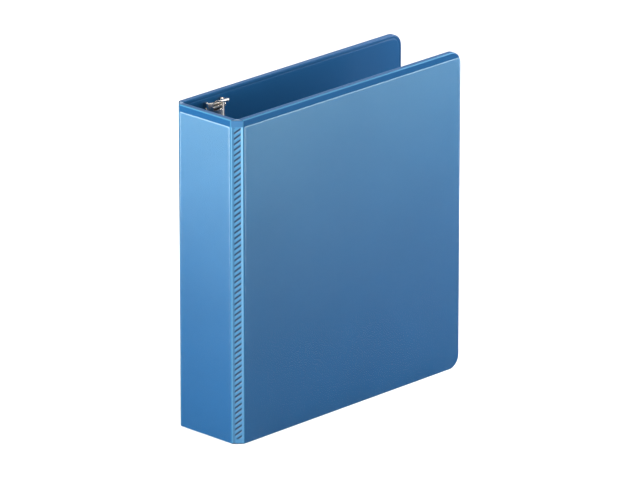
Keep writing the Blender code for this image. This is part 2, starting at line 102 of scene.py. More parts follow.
# Chipboard: uncoated and pressed from pulp, so it is matt and mottled with paler flecks.
CHIPBOARD, shader = new_material("Grey chipboard")
place = add_node(CHIPBOARD, "ShaderNodeTexCoord")
flecks = add_node(CHIPBOARD, "ShaderNodeTexNoise", {
    "Vector": place.outputs["Object"], "Scale": 1 / CHIP_WIDTH, "Detail": 4.0,
})
mottle = add_node(CHIPBOARD, "ShaderNodeMix", {
    "Factor": flecks.outputs["Fac"], MIX_A: colour(BOARD_DARK), MIX_B: colour(BOARD_PALE),
}, data_type="RGBA")
pulp = add_node(CHIPBOARD, "ShaderNodeBump", {
    "Height": flecks.outputs["Fac"], "Distance": CHIP_RELIEF,
})
set_inputs(shader, {
    "Base Color": mottle.outputs[MIX_RESULT], "Normal": pulp.outputs["Normal"], "Roughness": 0.9,
})

for board in BOARDS:
    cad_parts[board].data.materials.clear()
    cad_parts[board].data.materials.append(CHIPBOARD)


# Outer vinyl of the spine and the covers
#
# Blue PVC sheet, wrapped round the boards and welded to the inner sheet with a hot bar, which
# leaves a rolled edge with a fine seam along its middle.

SKIN_FACE = 0.00040                 # depth of the outer face, behind the clear film
SKIN_THICKNESS = 0.0011
OUTER_ROUND = 0.0011                # rolled edge, outside and inside
INNER_ROUND = 0.0009
SEAM_DEPTH = 0.00035
SEAM_WIDTH = 0.0006
RIM = 0.0012                        # from the edge to the liner
HINGE_CORNER = 0.0010
FREE_CORNER = 0.0120
LEAST_CORNER = 0.1 * HINGE_CORNER   # a corner stays this round however far in its outline lies
CORNER_STEPS = 12
ROLL_STEPS = 6
FLAT_BORDER = 0.0006                # flat ring that keeps the rolled edge's shading off the face
HIGHLIGHT_DEPTH = 0.3 * OUTER_ROUND     # brightest line of the painted highlight on the rolled edge, behind the outer face
HIGHLIGHT_REACH = 0.5 * OUTER_ROUND     # how far the painted highlight reaches either side of it
FAINT_HIGHLIGHT = 0.15                  # strength of the painted highlight along a cover's bottom and free edges
SEAM_LIP = 0.1 * SEAM_DEPTH         # dip halfway down the seam's sides
ROLLED_HIGHLIGHT = "#39708F"             # painted highlight on the rolled edges, a paler blue
GRAIN_WIDTH = 0.0005                # pebbles pressed into the sheet by the calender's roll
GRAIN_RELIEF = 0.0000012
RIPPLE_WIDTH = 0.055                # slack in a sheet welded at its edges only
RIPPLE_RELIEF = 0.00012
VINYL_BLUE = "#0D4069"
VINYL_DEEP = "#0C3C63"


def rounded_outline(left, right, bottom, top, radii):
    """An outline with four round corners, anticlockwise from the lower left."""
    corners = (
        (left + radii[0], bottom + radii[0], pi), (right - radii[1], bottom + radii[1], 1.5 * pi),
        (right - radii[2], top - radii[2], 0), (left + radii[3], top - radii[3], 0.5 * pi),
    )
    points = []
    for (u, v, start), radius in zip(corners, radii):
        turns = [start + 0.5 * pi * i / CORNER_STEPS for i in range(CORNER_STEPS + 1)]
        points += [(u + radius * cos(turn), v + radius * sin(turn)) for turn in turns]
    return points


def shell(loops, matrix=Matrix()):
    """A closed skin through loops of equal length, its two ends filled."""
    shape = bmesh.new()
    rings = [[shape.verts.new(matrix @ Vector(point)) for point in loop] for loop in loops]
    shape.faces.new(rings[0])
    shape.faces.new(rings[-1])
    for first, second in zip(rings, rings[1:]):
        for i in range(len(first)):
            j = (i + 1) % len(first)
            shape.faces.new((first[i], first[j], second[j], second[i]))
    return shape


def add_piece(name, shape, material, sharp_angle=radians(40)):
    """Turn a bmesh into a smooth piece that takes its finish from a slot."""
    bmesh.ops.recalc_face_normals(shape, faces=shape.faces)
    mesh = bpy.data.meshes.new(name)
    shape.to_mesh(mesh)
    shape.free()
    mesh.shade_smooth()
    mesh.set_sharp_from_angle(angle=sharp_angle)
    mesh.materials.append(material)
    piece = bpy.data.objects.new(name, mesh)
    bpy.context.collection.objects.link(piece)
    return piece


def panel_frame(panel):
    """A panel's width, its height and the matrix from its own (u, v, w) to the binder's frame.

    u runs from the hinge, v up, and w inward from the clear film's face.
    """
    low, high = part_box(f"{panel}_vinyl")
    film_low, film_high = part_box(f"{panel}_overlay")
    across, inward, origin = {
        "spine": ((1, 0, 0), (0, 1, 0), (low.x, film_low.y, low.z)),
        "front": ((0, 1, 0), (-1, 0, 0), (film_high.x, low.y, low.z)),
        "back": ((0, 1, 0), (1, 0, 0), (film_low.x, low.y, low.z)),
    }[panel]
    matrix = Matrix.Translation(origin) @ Matrix((across, (0, 0, 1), inward)).transposed().to_4x4()
    return (high - low).dot(Vector(across)), high.z - low.z, matrix


def panel_shell(panel, profile):
    """Skin round a panel: its outline at each (inset, depth) of a profile."""
    width, height, matrix = panel_frame(panel)
    free = HINGE_CORNER if panel == "spine" else FREE_CORNER
    loops = []
    for inset, depth in profile:
        corners = (HINGE_CORNER, free, free, HINGE_CORNER)
        radii = [max(radius - inset, LEAST_CORNER) for radius in corners]
        outline = rounded_outline(inset, width - inset, inset, height - inset, radii)
        loops.append([(u, v, depth) for u, v in outline])
    return shell(loops, matrix)


# PVC sheet: calendered, with a faint pebbled grain. Satin, and a little deeper in the hollows. A
# painted highlight runs along its rolled edges.
BLUE_PVC, shader = new_material("Blue PVC sheet")
place = add_node(BLUE_PVC, "ShaderNodeTexCoord")
grain = add_node(BLUE_PVC, "ShaderNodeTexVoronoi", {
    "Vector": place.outputs["Object"], "Scale": 1 / GRAIN_WIDTH, "Smoothness": 1.0,
}, feature="SMOOTH_F1")
ripple = add_node(BLUE_PVC, "ShaderNodeTexNoise", {
    "Vector": place.outputs["Object"], "Scale": 1 / RIPPLE_WIDTH, "Detail": 1.0,
})
tone = add_node(BLUE_PVC, "ShaderNodeMix", {
    "Factor": ripple.outputs["Fac"], MIX_A: colour(VINYL_DEEP), MIX_B: colour(VINYL_BLUE),
}, data_type="RGBA")
waves = add_node(BLUE_PVC, "ShaderNodeBump", {
    "Height": ripple.outputs["Fac"], "Distance": RIPPLE_RELIEF,
})
pebbles = add_node(BLUE_PVC, "ShaderNodeBump", {
    "Height": grain.outputs["Distance"], "Distance": GRAIN_RELIEF, "Normal": waves.outputs["Normal"],
})
gloss = add_node(BLUE_PVC, "ShaderNodeMapRange", {
    "Value": grain.outputs["Distance"], "From Max": 0.6, "To Min": 0.34, "To Max": 0.46,
})
# The rolled attribute masks a painted highlight along the rolled edges.
painted_edge_highlight = add_node(BLUE_PVC, "ShaderNodeAttribute", attribute_name="rolled")
with_edge_highlight = add_node(BLUE_PVC, "ShaderNodeMix", {
    "Factor": painted_edge_highlight.outputs["Fac"], MIX_A: tone.outputs[MIX_RESULT], MIX_B: colour(ROLLED_HIGHLIGHT),
}, data_type="RGBA")
set_inputs(shader, {
    "Base Color": with_edge_highlight.outputs[MIX_RESULT], "Normal": pebbles.outputs["Normal"],
    "Roughness": gloss.outputs["Result"], "IOR": 1.53, "Specular IOR Level": 0.05,
    "Coat Weight": 0.08, "Coat Roughness": 0.14,
})

PANEL_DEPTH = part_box("front_overlay")[1].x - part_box("front_vinyl")[0].x
seam = 0.5 * (SKIN_FACE + PANEL_DEPTH)
quarter = [0.5 * pi * i / ROLL_STEPS for i in range(ROLL_STEPS + 1)]
skin_profile = [
    (3 * OUTER_ROUND, SKIN_FACE),
    (OUTER_ROUND + FLAT_BORDER, SKIN_FACE),
    *[(OUTER_ROUND * (1 - sin(t)), SKIN_FACE + OUTER_ROUND * (1 - cos(t))) for t in quarter],
    (0.0, seam - SEAM_WIDTH),
    (SEAM_LIP, seam - 0.5 * SEAM_WIDTH),
    (SEAM_DEPTH, seam),
    (SEAM_LIP, seam + 0.5 * SEAM_WIDTH),
    (0.0, seam + SEAM_WIDTH),
    *[(INNER_ROUND * (1 - cos(t)), PANEL_DEPTH - INNER_ROUND * (1 - sin(t))) for t in quarter],
    (RIM, PANEL_DEPTH),
    (RIM, SKIN_FACE + SKIN_THICKNESS),
]
for panel, body in (("spine", "spine"), ("front", "front_cover"), ("back", "back_cover")):
    skin = add_piece(f"{panel}_skin", panel_shell(panel, skin_profile), BLUE_PVC)
    width, height, matrix = panel_frame(panel)
    # Painted highlight along the crown of the rolled edge: full on the top and hinge edges, faint on a
    # cover's bottom and free edges.
    rolled = []
    for vertex in skin.data.vertices:
        u, v, w = matrix.inverted() @ vertex.co
        highlight = 1 - abs(w - SKIN_FACE - HIGHLIGHT_DEPTH) / HIGHLIGHT_REACH
        far_weld = panel == "spine" and u > width - OUTER_ROUND
        share = 1.0 if v > height - OUTER_ROUND or u < OUTER_ROUND or far_weld else FAINT_HIGHLIGHT
        on_edge = min(u, width - u, v, height - v) < OUTER_ROUND
        rolled.append(max(highlight, 0.0) * share if on_edge else 0.0)
    skin.data.attributes.new("rolled", "FLOAT", "POINT").data.foreach_set("value", rolled)
    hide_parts(f"{panel}_vinyl")
    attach(skin, body)


# Inner liners
#
# Second sheet of the same PVC, laid over the boards on the inside. The hot bar's track shows as a
# shallow channel a few millimetres in from each edge.

LINER_EDGE = 0.0013
LINER_BACK = 0.00075                # thickness
LINER_ROUND = 0.00014               # cut edge
LINER_SOFT = 0.00004                # point halfway round it
TRACK_START = 0.0027
TRACK_WIDTH = 0.0010
TRACK_DEPTH = 0.00016

track = [
    (TRACK_START, 0.0), (TRACK_START + 0.2 * TRACK_WIDTH, 0.7 * TRACK_DEPTH),
    (TRACK_START + 0.35 * TRACK_WIDTH, TRACK_DEPTH), (TRACK_START + 0.65 * TRACK_WIDTH, TRACK_DEPTH),
    (TRACK_START + 0.8 * TRACK_WIDTH, 0.7 * TRACK_DEPTH), (TRACK_START + TRACK_WIDTH, 0.0),
]
liner_profile = [
    (LINER_EDGE, PANEL_DEPTH - LINER_BACK),
    (LINER_EDGE, PANEL_DEPTH - LINER_ROUND),
    (LINER_EDGE + LINER_SOFT, PANEL_DEPTH - LINER_SOFT),
    (LINER_EDGE + LINER_ROUND, PANEL_DEPTH),
    *[(inset, PANEL_DEPTH - sunk) for inset, sunk in track],
    (TRACK_START + TRACK_WIDTH + FLAT_BORDER, PANEL_DEPTH),
]
for panel, body in (("spine", "spine"), ("front", "front_cover"), ("back", "back_cover")):
    liner = add_piece(f"{panel}_inner_sheet", panel_shell(panel, liner_profile), BLUE_PVC)
    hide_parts(f"{panel}_liner")
    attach(liner, body)


# Hinge strips
#
# Where no board lies between them the two sheets are welded flat to each other, and the strip
# bends there. The welding tool's slanted teeth leave a row of ribs, below a plain top end.

STRIP_FACE = 0.00028                # depth of the ribs' tops below the corner-to-corner plane
STRIP_GAP = 0.00018                 # to the panels either side, along X and along Y
STRIP_BACK = 0.0004                 # the strip is this much thinner than a panel
RIB_PITCH = 0.0050
RIB_SLOPE = 0.75                    # rise over width
RIB_START = 0.0024                  # ribs' ends, across the strip from the spine
RIB_END = 0.0088
RIB_TOP = 0.0068                    # plain ends at the top and the bottom
RIB_BOTTOM = 0.0045
RIB_GROOVE = 0.40                   # share of the pitch that is pressed down
RIB_RELIEF = 0.00045
RIB_RAMP = 0.0005                   # slope at the ribs' ends
RIB_EASE = 0.12                     # slope at their sides, as a share of the pitch
ROW_HEIGHT = 0.00055
STRIP_COLUMNS = 26
SIDE_COLUMNS = 8
STRIP_EDGE = 0.0009                 # rounding of the strip's ends
RIB_PALE = "#2E5F82"
RIB_DARK = "#07263F"
WELD_HIGHLIGHT = "#53809F"
BARE_BLUE = "#255075"
MARGIN_FUSED = 0.35                 # how far the plain margin by the spine is fused
MARGIN_COLUMNS = range(2, 7)
WELD_HIGHLIGHT_COLUMNS = {0, 1, *range(STRIP_COLUMNS - 4, STRIP_COLUMNS + 1)}    # painted highlight along the two welds
COVERED_BLUR = 0.0002               # either side of the film's top edge


def ease(x):
    """From 0 to 1 with level ends."""
    x = min(max(x, 0.0), 1.0)
    return x * x * (3 - 2 * x)


def strip_relief(across, up, height):
    """How far the tool pressed the strip down at a place, from 0 to 1."""
    phase = ((up - RIB_SLOPE * across) / RIB_PITCH) % 1.0
    groove = ease(phase / RIB_EASE) * ease((RIB_GROOVE - phase) / RIB_EASE + 1)
    window = ease((across - RIB_START) / RIB_RAMP) * ease((RIB_END - across) / RIB_RAMP)
    window *= ease((up - RIB_BOTTOM) / RIB_RAMP) * ease((height - RIB_TOP - up) / RIB_RAMP)
    return groove * window


def strip_section(width, wall):
    """Outline of the strip's end: (across, inward) points, the outer face first."""
    outer = [(width * i / STRIP_COLUMNS, 0.0) for i in range(STRIP_COLUMNS + 1)]
    reach = wall * sqrt(0.5)
    steps = [reach * i / SIDE_COLUMNS for i in range(1, SIDE_COLUMNS + 1)]
    return outer + [(width - step, step) for step in steps] + [(step, step) for step in reversed(steps)]


# Welded PVC and film: fused and dark where the teeth pressed, pale and milky between them, a painted
# highlight along the two welds that fades towards the bottom, and bare blue above the film's top edge.
WELDED_PVC, shader = new_material("Welded PVC and film")
place = add_node(WELDED_PVC, "ShaderNodeTexCoord")
height_above = add_node(WELDED_PVC, "ShaderNodeSeparateXYZ", {"Vector": place.outputs["Object"]})
covered = add_node(WELDED_PVC, "ShaderNodeMapRange", {
    "Value": height_above.outputs["Z"], "To Min": 1.0, "To Max": 0.0,
    "From Min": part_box("spine_overlay")[1].z - COVERED_BLUR,
    "From Max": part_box("spine_overlay")[1].z + COVERED_BLUR,
})
fused = add_node(WELDED_PVC, "ShaderNodeAttribute", attribute_name="pressed")
weld_highlight = add_node(WELDED_PVC, "ShaderNodeAttribute", attribute_name="weld_highlight")
# Painted light: the highlight along the welds fades from full at the film's top edge to a tenth at the
# bottom.
highlight_fade = add_node(WELDED_PVC, "ShaderNodeMapRange", {
    "Value": height_above.outputs["Z"], "From Max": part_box("spine_overlay")[1].z, "To Min": 0.1,
})
weld_highlight_strength = add_node(WELDED_PVC, "ShaderNodeMath", {
    0: weld_highlight.outputs["Fac"], 1: highlight_fade.outputs["Result"],
}, operation="MULTIPLY")
toothed = add_node(WELDED_PVC, "ShaderNodeMix", {
    "Factor": fused.outputs["Fac"], MIX_A: colour(RIB_PALE), MIX_B: colour(RIB_DARK),
}, data_type="RGBA")
with_edge_highlight = add_node(WELDED_PVC, "ShaderNodeMix", {
    "Factor": weld_highlight_strength.outputs["Value"], MIX_A: toothed.outputs[MIX_RESULT], MIX_B: colour(WELD_HIGHLIGHT),
}, data_type="RGBA")
banded = add_node(WELDED_PVC, "ShaderNodeMix", {
    "Factor": covered.outputs["Result"], MIX_A: colour(BARE_BLUE), MIX_B: with_edge_highlight.outputs[MIX_RESULT],
}, data_type="RGBA")
set_inputs(shader, {
    "Base Color": banded.outputs[MIX_RESULT], "Roughness": 0.35, "IOR": 1.53,
    "Specular IOR Level": 0.15, "Coat Weight": 0.15, "Coat Roughness": 0.14,
})

for side, cover in ((1, "front"), (-1, "back")):
    low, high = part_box(f"{cover}_hinge_strip")
    # corner-to-corner plane: from the spine's hinge edge to the cover's
    start = Vector((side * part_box("spine_vinyl")[1].x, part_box("spine_overlay")[0].y, 0))
    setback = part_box(f"{cover}_vinyl")[0].y - start.y
    end = start + Vector((side * setback, setback, 0))
    width = (end - start).length
    along = (end - start).normalized()
    inward = Vector((-side * along.y, abs(along.x), 0))
    section = strip_section(width - 2 * STRIP_GAP * sqrt(2), PANEL_DEPTH - STRIP_BACK)
    height = high.z + low.z
    rows = round((high.z - low.z) / ROW_HEIGHT)
    levels = [low.z + (high.z - low.z) * i / rows for i in range(rows + 1)]
    loops = []
    pressed_at = []
    weld_highlight_at = []
    for z in levels:
        edge = min(z - low.z, high.z - z)
        roll = STRIP_EDGE - sqrt(max(STRIP_EDGE ** 2 - max(STRIP_EDGE - edge, 0) ** 2, 0))
        loop = []
        for index, (across, depth) in enumerate(section):
            across += STRIP_GAP * sqrt(2)
            pressed = strip_relief(across, z, height) if index <= STRIP_COLUMNS else 0.0
            sink = STRIP_FACE + depth + RIB_RELIEF * pressed + (roll if index <= STRIP_COLUMNS else 0)
            loop.append(start + along * across + inward * sink + Vector((0, 0, z)))
            pressed_at.append(max(pressed, MARGIN_FUSED if index in MARGIN_COLUMNS else 0.0))
            weld_highlight_at.append(float(index in WELD_HIGHLIGHT_COLUMNS))
        loops.append(loop)
    strip = add_piece(f"{cover}_hinge", shell(loops), WELDED_PVC)
    for attribute, values in (("pressed", pressed_at), ("weld_highlight", weld_highlight_at)):
        strip.data.attributes.new(attribute, "FLOAT", "POINT").data.foreach_set("value", values)
    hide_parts(f"{cover}_hinge_strip")
    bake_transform(strip)


# Clear film
#
# Clear polypropylene film over the outside of each panel, welded down along three sides and open
# at the top, so that a printed sheet can be slid in.

FILM_THICKNESS = 0.00030
FILM_WELD = 0.0012
FILM_BORDER = 0.0010                # flat rim of the film, inside its cut edge
HIGHLIGHT_BAND = 0.0015                 # below the open top, where the edge carries the full painted highlight
FAINT_EDGE_HIGHLIGHT = 0.04                   # strength of the painted highlight on the welded edges
FILM_PALE = "#88BCD9"
FILM_EDGE_HIGHLIGHT = "#BFE6FB"               # painted highlight on the cut and welded edges

# Clear film: almost clear at its welded bottom edge, and a little milkier towards its open top; that
# rise is a painted sheen from the light above. Its edges carry a painted highlight.
CLEAR_FILM, shader = new_material("Clear polypropylene film")
place = add_node(CLEAR_FILM, "ShaderNodeTexCoord")
haze = add_node(CLEAR_FILM, "ShaderNodeTexNoise", {
    "Vector": place.outputs["Object"], "Scale": 1 / RIPPLE_WIDTH, "Detail": 2.0,
})
up_film = add_node(CLEAR_FILM, "ShaderNodeSeparateXYZ", {"Vector": place.outputs["Object"]})
rise = add_node(CLEAR_FILM, "ShaderNodeMapRange", {
    "Value": up_film.outputs["Z"], "From Min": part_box("spine_overlay")[0].z,
    "From Max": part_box("spine_overlay")[1].z,
})
# Painted sheen: the film's haze grows with height, standing in for a reflection of the light above.
painted_sheen_rise = add_node(CLEAR_FILM, "ShaderNodeMath", {0: rise.outputs["Result"], 1: 1.9}, operation="POWER")
blotch = add_node(CLEAR_FILM, "ShaderNodeMapRange", {
    "Value": haze.outputs["Fac"], "To Min": 0.075, "To Max": 0.098,
})
haze_and_sheen = add_node(CLEAR_FILM, "ShaderNodeMath", {
    0: painted_sheen_rise.outputs["Value"], 1: blotch.outputs["Result"], 2: 0.006,
}, operation="MULTIPLY_ADD")
edge_highlight = add_node(CLEAR_FILM, "ShaderNodeAttribute", attribute_name="edge")
haze_sheen_and_edge = add_node(CLEAR_FILM, "ShaderNodeMath", {
    0: edge_highlight.outputs["Fac"], 1: 0.10, 2: haze_and_sheen.outputs["Value"],
}, operation="MULTIPLY_ADD")
tint = add_node(CLEAR_FILM, "ShaderNodeMix", {
    "Factor": edge_highlight.outputs["Fac"], MIX_A: colour(FILM_PALE), MIX_B: colour(FILM_EDGE_HIGHLIGHT),
}, data_type="RGBA")
set_inputs(shader, {
    "Base Color": tint.outputs[MIX_RESULT], "Alpha": haze_sheen_and_edge.outputs["Value"], "Roughness": 0.42,
    "IOR": 1.49, "Specular IOR Level": 0.15,
})

for panel, body in (("spine", "spine"), ("front", "front_cover"), ("back", "back_cover")):
    width, height, matrix = panel_frame(panel)
    low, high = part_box(f"{panel}_overlay")
    inverse = matrix.inverted()
    corners = [inverse @ low, inverse @ high]
    left, right = sorted(corner.x for corner in corners)
    bottom, top = low.z, high.z
    lower_free = HINGE_CORNER if panel == "spine" else FREE_CORNER - left
    corner_radii = (HINGE_CORNER, lower_free, HINGE_CORNER, HINGE_CORNER)
    loops = []
    edges = []
    for inset, depth, edge in (
        (FILM_BORDER, FILM_THICKNESS, 0), (0.0, FILM_THICKNESS, 1), (0.0, 0.4 * FILM_THICKNESS, 1),
        (0.2 * FILM_BORDER, 0.1 * FILM_THICKNESS, 1), (0.6 * FILM_BORDER, 0.1 * FILM_THICKNESS, 1),
        (FILM_BORDER, 0.0, 0), (FILM_WELD, 0.0, 0), (2 * FILM_WELD, 0.0, 0),
    ):
        radii = [max(radius - inset, LEAST_CORNER) for radius in corner_radii]
        outline = rounded_outline(left + inset, right - inset, bottom + inset, top - inset, radii)
        loops.append([(u, v, depth) for u, v in outline])
        # The edge attribute is a painted highlight: full below the open top, faint on the welded edges.
        edges += [edge * (1.0 if v > top - HIGHLIGHT_BAND else FAINT_EDGE_HIGHLIGHT) for u, v in outline]
    film = add_piece(f"{panel}_clear_film", shell(loops, matrix), CLEAR_FILM)
    film.data.attributes.new("edge", "FLOAT", "POINT").data.foreach_set("value", edges)
    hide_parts(f"{panel}_overlay")
    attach(film, body)


# Inside pockets
#
# One sheet of thin PVC over the lower part of each inner sheet, open at the top. A hot bar welds it
# along its other three sides, where it is fused and darker.

POCKET_BULGE = 0.00012              # slack that lets papers in
WELD_IN = 0.0008
WELD_WIDTH = 0.0016
HEM = 0.0030                        # rim inside the welds, ironed smooth
POCKET_CORNER = 0.0004
POCKET_SOFT = 0.0001                # cut edge
WELD_SLOPE = 0.0002                 # side of a weld
POCKET_BLUE = "#0B385F"
POCKET_FUSED = "#06233F"

# Thin PVC: the same pebbled sheet, glossier, its welds fused smooth.
POCKET_PVC, shader = new_material("Thin PVC pocket sheet")
place = add_node(POCKET_PVC, "ShaderNodeTexCoord")
grain = add_node(POCKET_PVC, "ShaderNodeTexVoronoi", {
    "Vector": place.outputs["Object"], "Scale": 1 / GRAIN_WIDTH, "Smoothness": 1.0,
}, feature="SMOOTH_F1")
slack = add_node(POCKET_PVC, "ShaderNodeTexNoise", {
    "Vector": place.outputs["Object"], "Scale": 1 / RIPPLE_WIDTH, "Detail": 2.0,
})
waves = add_node(POCKET_PVC, "ShaderNodeBump", {
    "Height": slack.outputs["Fac"], "Distance": 2 * RIPPLE_RELIEF,
})
pebbles = add_node(POCKET_PVC, "ShaderNodeBump", {
    "Height": grain.outputs["Distance"], "Distance": GRAIN_RELIEF, "Normal": waves.outputs["Normal"],
})
welded = add_node(POCKET_PVC, "ShaderNodeAttribute", attribute_name="welded")
tone = add_node(POCKET_PVC, "ShaderNodeMix", {
    "Factor": welded.outputs["Fac"], MIX_A: colour(POCKET_BLUE), MIX_B: colour(POCKET_FUSED),
}, data_type="RGBA")
gloss = add_node(POCKET_PVC, "ShaderNodeMapRange", {
    "Value": slack.outputs["Fac"], "To Min": 0.24, "To Max": 0.38,
})
set_inputs(shader, {
    "Base Color": tone.outputs[MIX_RESULT], "Normal": pebbles.outputs["Normal"],
    "Roughness": gloss.outputs["Result"], "IOR": 1.53, "Specular IOR Level": 0.1,
})

for cover in ("front", "back"):
    width, height, matrix = panel_frame(cover)
    low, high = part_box(f"{cover}_pocket")
    corners = [matrix.inverted() @ low, matrix.inverted() @ high]
    left, right = sorted(corner.x for corner in corners)
    bottom, top = sorted(corner.y for corner in corners)
    back, face = sorted(corner.z for corner in corners)
    corner_radii = (POCKET_CORNER, FREE_CORNER - (width - right), POCKET_CORNER, POCKET_CORNER)
    loops = []
    welds = []
    for inset, depth, weld in (
        (0.0, back, 1), (0.0, face - POCKET_SOFT, 1), (POCKET_SOFT, face, 1), (WELD_IN, face, 1),
        (WELD_IN + WELD_SLOPE, face - POCKET_BULGE, 1), (WELD_IN + WELD_WIDTH, face - POCKET_BULGE, 1),
        (WELD_IN + WELD_WIDTH + WELD_SLOPE, face, 0), (HEM, face, 0), (HEM + FLAT_BORDER, face, 0),
    ):
        radii = [max(radius - inset, 0.5 * POCKET_CORNER) for radius in corner_radii]
        outline = rounded_outline(
            left + inset, right - inset, bottom + inset, top - min(inset, POCKET_SOFT), radii,
        )
        loops.append([(u, v, depth) for u, v in outline])
        welds += [float(weld and v < top - 2 * POCKET_SOFT) for u, v in outline]
    pocket = add_piece(f"{cover}_pocket_sheet", shell(loops, matrix), POCKET_PVC)
    pocket.data.attributes.new("welded", "FLOAT", "POINT").data.foreach_set("value", welds)
    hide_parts(f"{cover}_pocket")
    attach(pocket, f"{cover}_cover")


# Housing of the ring mechanism
#
# An arch of cold-rolled steel about 1 mm thick, blanked, pressed and nickel-plated. Its edges are
# folded in under the rails, and its ends are notched for the levers.

NICKEL_PALE = "#DDDBD7"
NICKEL_WARM = "#CCC9C2"
ROLLING_WIDTH = 0.0009              # streaks that the rolling mill leaves, drawn coarser to show
ROLLING_LENGTH = 0.030
ROLLING_RELIEF = 0.0000006
PRESSED_ROUND = 0.00022             # cut edges, tumbled before plating
SHARP = radians(35)

# Nickel plate: bright but not a mirror, warmer than chrome, with faint streaks along the strip.
NICKEL, shader = new_material("Nickel-plated steel")
place = add_node(NICKEL, "ShaderNodeTexCoord")
stretched_place = add_node(NICKEL, "ShaderNodeMapping", {
    "Vector": place.outputs["Object"],
    "Scale": (1 / ROLLING_WIDTH, 1 / ROLLING_WIDTH, 1 / ROLLING_LENGTH),
})
streaks = add_node(NICKEL, "ShaderNodeTexNoise", {
    "Vector": stretched_place.outputs["Vector"], "Scale": 1.0, "Detail": 3.0,
})
sheen = add_node(NICKEL, "ShaderNodeMapRange", {
    "Value": streaks.outputs["Fac"], "From Min": 0.3, "From Max": 0.7, "To Min": 0.17, "To Max": 0.25,
})
plate = add_node(NICKEL, "ShaderNodeMix", {
    "Factor": streaks.outputs["Fac"], MIX_A: colour(NICKEL_WARM), MIX_B: colour(NICKEL_PALE),
}, data_type="RGBA")
scratches = add_node(NICKEL, "ShaderNodeBump", {
    "Height": streaks.outputs["Fac"], "Distance": ROLLING_RELIEF,
})
set_inputs(shader, {
    "Base Color": plate.outputs[MIX_RESULT], "Roughness": sheen.outputs["Result"],
    "Normal": scratches.outputs["Normal"], "Metallic": 1.0,
})


def pressed_piece(name, node, body, edge_round=PRESSED_ROUND):
    """A CAD node's solid with its cut edges rounded over, as a plated piece."""
    shape = bmesh.new()
    shape.from_mesh(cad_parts[node].data)
    bmesh.ops.remove_doubles(shape, verts=shape.verts, dist=1e-6)
    bmesh.ops.dissolve_limit(shape, angle_limit=radians(1), verts=shape.verts, edges=shape.edges)
    edges = [edge for edge in shape.edges if edge.is_manifold and edge.calc_face_angle() > SHARP]
    bmesh.ops.bevel(
        shape, geom=edges, offset=edge_round, segments=2, profile=0.5, affect="EDGES",
        clamp_overlap=True,
    )
    piece = add_piece(name, shape, NICKEL)
    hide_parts(node)
    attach(piece, body)


pressed_piece("arched_housing", "ring_housing", "back_cover")


# Rails
#
# Two flat strips of spring steel inside the housing. They rock on their outer edges and carry the
# rings' legs, which are staked in them.

pressed_piece("rail_of_curves", "spine_side_rail", "curved_rings", 0.5 * PRESSED_ROUND)
pressed_piece("rail_of_posts", "free_side_rail", "ring_posts", 0.5 * PRESSED_ROUND)


# Rings
#
# Round steel wire, cropped, bent and nickel-plated: a straight post and a curved half that meet at
# the top, their ends chamfered.

WIRE_RADIUS = 0.0021
SPIGOT_RADIUS = 0.00125
RING_LEG = 0.0063                   # legs, from the housing's centre line
RING_TOP = 0.0560                   # wire's centre line, above the liner
RING_BULGE = 0.0210
RING_BULGE_HEIGHT = 0.0300
CURVE_RISE = 0.62                   # how straight the curved half leaves its widest point
CURVE_CROWN = 0.6                   # and how flat it meets the post
BEND_STEPS = 12
POST_BEND = 0.0052
POST_END = 0.0005                   # the halves' ends, from the housing's centre line
CURVE_END = 0.0002
LEG_FOOT = 0.0046                   # where a leg stands on its rail
LEG_OUT = 0.0088                    # where it leaves the housing
WIRE_SIDES = 28
TIP_CHAMFER = 0.0004

liner_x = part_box("back_liner")[1].x
housing_low, housing_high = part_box("ring_housing")
housing_y = 0.5 * (housing_low.y + housing_high.y)


def cubic(start, lead_out, lead_in, end, steps=24):
    """Points along a cubic curve, its first point left out."""
    points = []
    for i in range(1, steps + 1):
        t = i / steps
        weights = ((1 - t) ** 3, 3 * t * (1 - t) ** 2, 3 * t ** 2 * (1 - t), t ** 3)
        corners = (start, lead_out, lead_in, end)
        points.append(tuple(sum(w * c[axis] for w, c in zip(weights, corners)) for axis in (0, 1)))
    return points


def wire(path, radii, height):
    """Round wire along (across, above) points at a height, with a radius at each point."""
    loops = []
    for i, (point, radius) in enumerate(zip(path, radii)):
        ahead = Vector(path[min(i + 1, len(path) - 1)]) - Vector(path[max(i - 1, 0)])
        ahead.normalize()
        loop = []
        for k in range(WIRE_SIDES):
            turn = 2 * pi * k / WIRE_SIDES
            across = point[0] + radius * cos(turn) * ahead.y
            above = point[1] - radius * cos(turn) * ahead.x
            loop.append((liner_x + above, housing_y + across, height + radius * sin(turn)))
        loops.append(loop)
    return shell(loops)


lift = RING_BULGE_HEIGHT - LEG_OUT
reach = RING_TOP - RING_BULGE_HEIGHT
bulge = (-RING_BULGE, RING_BULGE_HEIGHT)
lower = cubic(
    (-RING_LEG, LEG_OUT), (-RING_LEG, LEG_OUT + lift / 3), (bulge[0], bulge[1] - lift / 2), bulge,
)
upper = cubic(
    bulge, (bulge[0], bulge[1] + CURVE_RISE * reach),
    (CURVE_END - CURVE_CROWN * RING_BULGE, RING_TOP), (CURVE_END, RING_TOP),
)
curve_path = [(-RING_LEG, LEG_OUT)] + lower + upper
bend = [0.5 * pi * i / BEND_STEPS for i in range(BEND_STEPS + 1)]
post_path = [
    (RING_LEG - POST_BEND + POST_BEND * cos(turn), RING_TOP - POST_BEND + POST_BEND * sin(turn))
    for turn in bend
] + [(POST_END, RING_TOP)]

